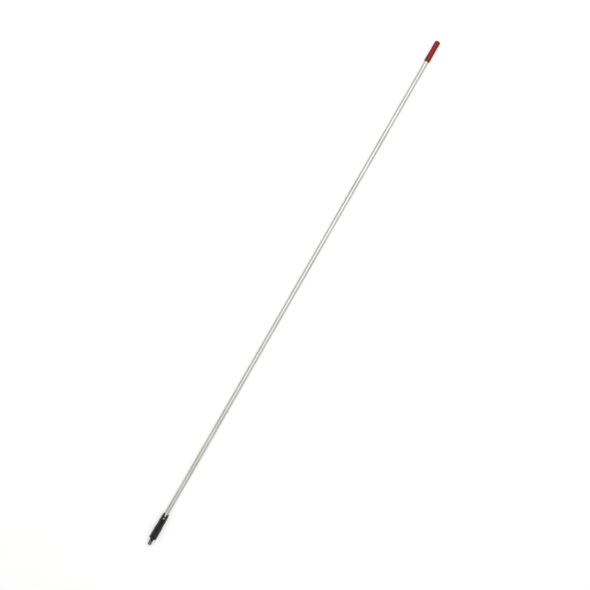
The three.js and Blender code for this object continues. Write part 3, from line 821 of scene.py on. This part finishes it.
# ---------------------------------------------------------------------------------------------
# Inner tube: the thinner aluminium tube that slides out. It has the outer tube's finish, and is
# drilled through both walls near each end, for the cross pins of the tip and the rear plug.
# ---------------------------------------------------------------------------------------------
INNER_WALL = 1.2 * MM
inner_low, inner_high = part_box("inner_tube")
pin_low, pin_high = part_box("tip_pin")
pin_place = (pin_low.x + pin_high.x) / 2
inner_outline = tube_outline(inner_low.x, inner_high.x, INNER_RADIUS, INNER_WALL)
inner_mesh = cut(turned(inner_outline), [pin_drill(pin_place), pin_drill(rear_pin_place)])
add_piece("inner_tube_drawn", inner_mesh, aluminium, "inner_tube", "inner_pole")


# ---------------------------------------------------------------------------------------------
# Tip pin: a bright steel cross pin through the inner tube, the collar's spigot and the tip's
# shank. Its ends are dressed nearly flush with the tube.
# ---------------------------------------------------------------------------------------------
tip_pin = pin_mesh(pin_place, INNER_RADIUS + 0.08 * MM)
add_piece("tip_pin_set", tip_pin, steel, "tip_pin", "inner_pole", 45)


# ---------------------------------------------------------------------------------------------
# Tip collar: a black moulded ring between the inner tube's end and the threaded tip. Its spigot
# fills the tube, and its rounded flange covers the tube's cut end.
# ---------------------------------------------------------------------------------------------
COLLAR_RADIUS = 9.2 * MM
COLLAR_ROUND = 0.7 * MM
COLLAR_LENGTH = 8 * MM
SHANK_HOLE = 4.35 * MM
collar_low, collar_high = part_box("tip_collar")


def collar_outline():
    back, front = collar_low.x, collar_high.x
    flange = front - COLLAR_LENGTH
    outline = [(back, SPIGOT_RADIUS - 0.6 * MM), (back + 1.5 * MM, SPIGOT_RADIUS)]
    outline.append((flange, SPIGOT_RADIUS))
    arc = []
    for bend in bends(5):
        radius = COLLAR_RADIUS - COLLAR_ROUND * (1 - math.cos(bend))
        arc.append((COLLAR_ROUND * (1 - math.sin(bend)), radius))
    outline += [(flange + along, radius) for along, radius in reversed(arc)]
    outline += [(front - along, radius) for along, radius in arc]
    return outline + [(front, SHANK_HOLE), (back, SHANK_HOLE)]


collar_mesh = cut(turned(collar_outline()), [pin_drill(pin_place)])
add_piece("tip_collar_moulded", collar_mesh, black_moulding, "tip_collar", "inner_pole")


# ---------------------------------------------------------------------------------------------
# Threaded tip: a dark-plated steel stud with a right-handed 3/4 inch Acme thread, five turns to
# the inch. The thread is chamfered at its end and fades in at the flange, and wear has taken the
# plating off its crests.
# ---------------------------------------------------------------------------------------------
THREAD_RADIUS = 9.525 * MM
THREAD_ROOT = 7.0 * MM
THREAD_PITCH = 5.08 * MM
THREAD_CHAMFER = 2.2 * MM
CREST_SHARE = 0.37
FLANK_SHARE = 0.14
THREAD_START_SHARE = 0.3
THREAD_STEP = 0.12 * MM
THREAD_FADE_TURNS = 0.4
TIP_FLANGE_RADIUS = 8.6 * MM
TIP_FLANGE_LENGTH = 2.7 * MM
SHANK_RADIUS = 4.0 * MM
SHANK_LENGTH = 30 * MM
tip_low, tip_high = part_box("threaded_tip")


def dark_plated_steel():
    """Dark plating, slightly cloudy, with nicks, and bare steel where the crests are worn."""
    finish = Finish("dark_plated_steel", (0.06, 0.06, 0.058), Metallic=1.0, Roughness=0.2)
    place = finish.node("TexCoord", output="Object")
    upright = {0: place, 1: (0, 1, 1), 2: (0, 0, -axis_height)}
    from_axis = finish.node("VectorMath", {"operation": "MULTIPLY_ADD"}, upright)
    radius = finish.node("VectorMath", {"operation": "LENGTH"}, {0: from_axis}, output=1)
    flank = {0: radius, 1: THREAD_ROOT + 0.4 * MM, 2: THREAD_RADIUS - 0.3 * MM}
    crest = finish.node("MapRange", {}, flank)
    clouds = finish.noise(140, detail=4, roughness=0.6)
    nicks = finish.noise(1500, (0.4, 1, 1), detail=5, roughness=0.7)
    worn = finish.ramp(crest * 0.62 + clouds * 0.3 + nicks * 0.2, (0.62, 0.0), (0.80, 1.0))
    plating = finish.ramp(clouds, (0.3, (0.022, 0.022, 0.021)), (0.7, (0.045, 0.045, 0.043)))
    finish.feed(Base_Color=finish.blend(worn, plating, (0.5, 0.5, 0.49)))
    finish.feed(Roughness=nicks * 0.12 + clouds * 0.08 + worn * 0.04 + 0.08)
    finish.bump(nicks, 0.00004, 0.4)
    return finish.material


def thread_ring(x):
    start = tip_low.x + SHANK_LENGTH + TIP_FLANGE_LENGTH + THREAD_START_SHARE * THREAD_PITCH

    def ring(angle):
        phase = (angle / (2 * math.pi) + 0.25) % 1
        turn = (x - start) / THREAD_PITCH - phase
        wind = max(0, round(turn))
        offset = abs(turn - wind)
        height = min(1.0, max(0.0, (CREST_SHARE / 2 + FLANK_SHARE - offset) / FLANK_SHARE))
        fade = smooth_step((wind + phase) / THREAD_FADE_TURNS)
        radius = THREAD_ROOT + (THREAD_RADIUS - THREAD_ROOT) * height * fade
        chamfer = THREAD_RADIUS - max(0.0, x - tip_high.x + THREAD_CHAMFER)
        return x, min(radius, chamfer)

    return ring


def tip_outline():
    back = tip_low.x
    flange = back + SHANK_LENGTH
    thread = flange + TIP_FLANGE_LENGTH
    count = int((tip_high.x - thread) / THREAD_STEP)
    rings = [(back, 0), (back, SHANK_RADIUS - 0.4 * MM), (back + 0.5 * MM, SHANK_RADIUS)]
    rings += [(flange, SHANK_RADIUS), (flange, TIP_FLANGE_RADIUS - 0.3 * MM)]
    rings += [(flange + 0.3 * MM, TIP_FLANGE_RADIUS), (thread - 1.2 * MM, TIP_FLANGE_RADIUS)]
    rings += [(thread - 0.9 * MM, TIP_FLANGE_RADIUS - 0.2 * MM), (thread, THREAD_ROOT)]
    rings += [thread_ring(thread + THREAD_STEP * k) for k in range(1, count)]
    end = tip_high.x
    rings += [(end - 0.05 * MM, THREAD_ROOT), (end, THREAD_ROOT - 0.25 * MM), (end, 3 * MM), (end, 0)]
    return rings


tip_mesh = cut(turned(tip_outline(), sides=128), [pin_drill(pin_place)])
tip_finish = dark_plated_steel()
add_piece("threaded_tip_cut", tip_mesh, tip_finish, "threaded_tip", "inner_pole", 50)


# ---------------------------------------------------------------------------------------------
# Floor, light and camera: a white board under a wide softbox, with a weak lamp overhead and pale
# walls around, and a long lens that looks straight down on the lying pole, turned so that the
# tip points to the lower left.
# ---------------------------------------------------------------------------------------------
FLOOR_SIZE = 14.0
TILT_FROM_UPRIGHT = math.radians(29.91)
FRAME_WIDTH = 2.4777
LENS = 135
SENSOR = 36
CENTRE_OFFSET = (5.6 * MM, -9.1 * MM)
SOFTBOX_SIZE = (3.4, 3.2)
SOFTBOX_HEIGHT = 3.0
SOFTBOX_PLACE = -1.1
SOFTBOX_RADIANCE = 1.0
LAMP_STRENGTH = 0.1


def pale_floor():
    """Matt painted board with a hardly visible mottle, lit a little from below."""
    glow = {"Emission_Color": (1, 1, 1, 1), "Emission_Strength": 0.3}
    finish = Finish("pale_floor", (0.9, 0.9, 0.89), Roughness=0.8, **glow)
    mottle = finish.noise(3, detail=4)
    finish.feed(Base_Color=finish.ramp(mottle, (0.3, (0.89, 0.89, 0.88)), (0.7, (0.92, 0.92, 0.915))))
    finish.feed(Roughness=mottle * 0.1 + 0.75)
    return finish.material


def add_floor():
    builder = bmesh.new()
    half = FLOOR_SIZE / 2
    corners = [(-half, -half), (half, -half), (half, half), (-half, half)]
    builder.faces.new([builder.verts.new((x, y, 0)) for x, y in corners])
    mesh = bpy.data.meshes.new("floor")
    builder.to_mesh(mesh)
    builder.free()
    mesh.materials.append(pale_floor())
    floor = bpy.data.objects.new("floor", mesh)
    bpy.context.scene.collection.objects.link(floor)


def add_camera():
    camera = bpy.data.objects.new("camera", bpy.data.cameras.new("camera"))
    camera.data.lens = LENS
    camera.data.sensor_width = SENSOR
    distance = FRAME_WIDTH * LENS / SENSOR
    camera.data.clip_end = 100
    turn = math.pi / 2 + TILT_FROM_UPRIGHT
    right = Vector((math.cos(turn), math.sin(turn), 0))
    up = Vector((-math.sin(turn), math.cos(turn), 0))
    offset = right * CENTRE_OFFSET[0] + up * CENTRE_OFFSET[1]
    camera.location = offset + Vector((0, 0, axis_height + distance))
    camera.rotation_euler = (0, 0, turn)
    bpy.context.scene.collection.objects.link(camera)
    bpy.context.scene.camera = camera


class Backdrop(Finish):
    """The room's light: pale walls at the height of the floor, dimmer above, bright overhead."""

    def __init__(self, world):
        world.use_nodes = True
        self.tree = world.node_tree
        self.shader = self.tree.nodes["Background"]

    def light(self):
        height = self.node("SeparateXYZ", {}, {0: self.node("TexCoord", output="Generated")}, output=2)
        walls = ((0.10, 0.86), (0.24, 0.34))
        self.feed(Color=self.ramp(height, *walls, (0.85, 0.72)))


def add_light():
    softbox = bpy.data.objects.new("softbox", bpy.data.lights.new("softbox", "AREA"))
    softbox.data.shape = "RECTANGLE"
    softbox.data.size, softbox.data.size_y = SOFTBOX_SIZE
    softbox.data.energy = SOFTBOX_RADIANCE * math.pi * SOFTBOX_SIZE[0] * SOFTBOX_SIZE[1]
    softbox.location = (SOFTBOX_PLACE, 0, SOFTBOX_HEIGHT)
    bpy.context.scene.collection.objects.link(softbox)
    lamp = bpy.data.objects.new("overhead_lamp", bpy.data.lights.new("overhead_lamp", "SUN"))
    lamp.data.energy = LAMP_STRENGTH
    lamp.data.angle = math.radians(10)
    bpy.context.scene.collection.objects.link(lamp)
    world = bpy.data.worlds.new("studio")
    bpy.context.scene.world = world
    Backdrop(world).light()
    bpy.context.scene.view_settings.view_transform = "Standard"


add_floor()
add_camera()
add_light()
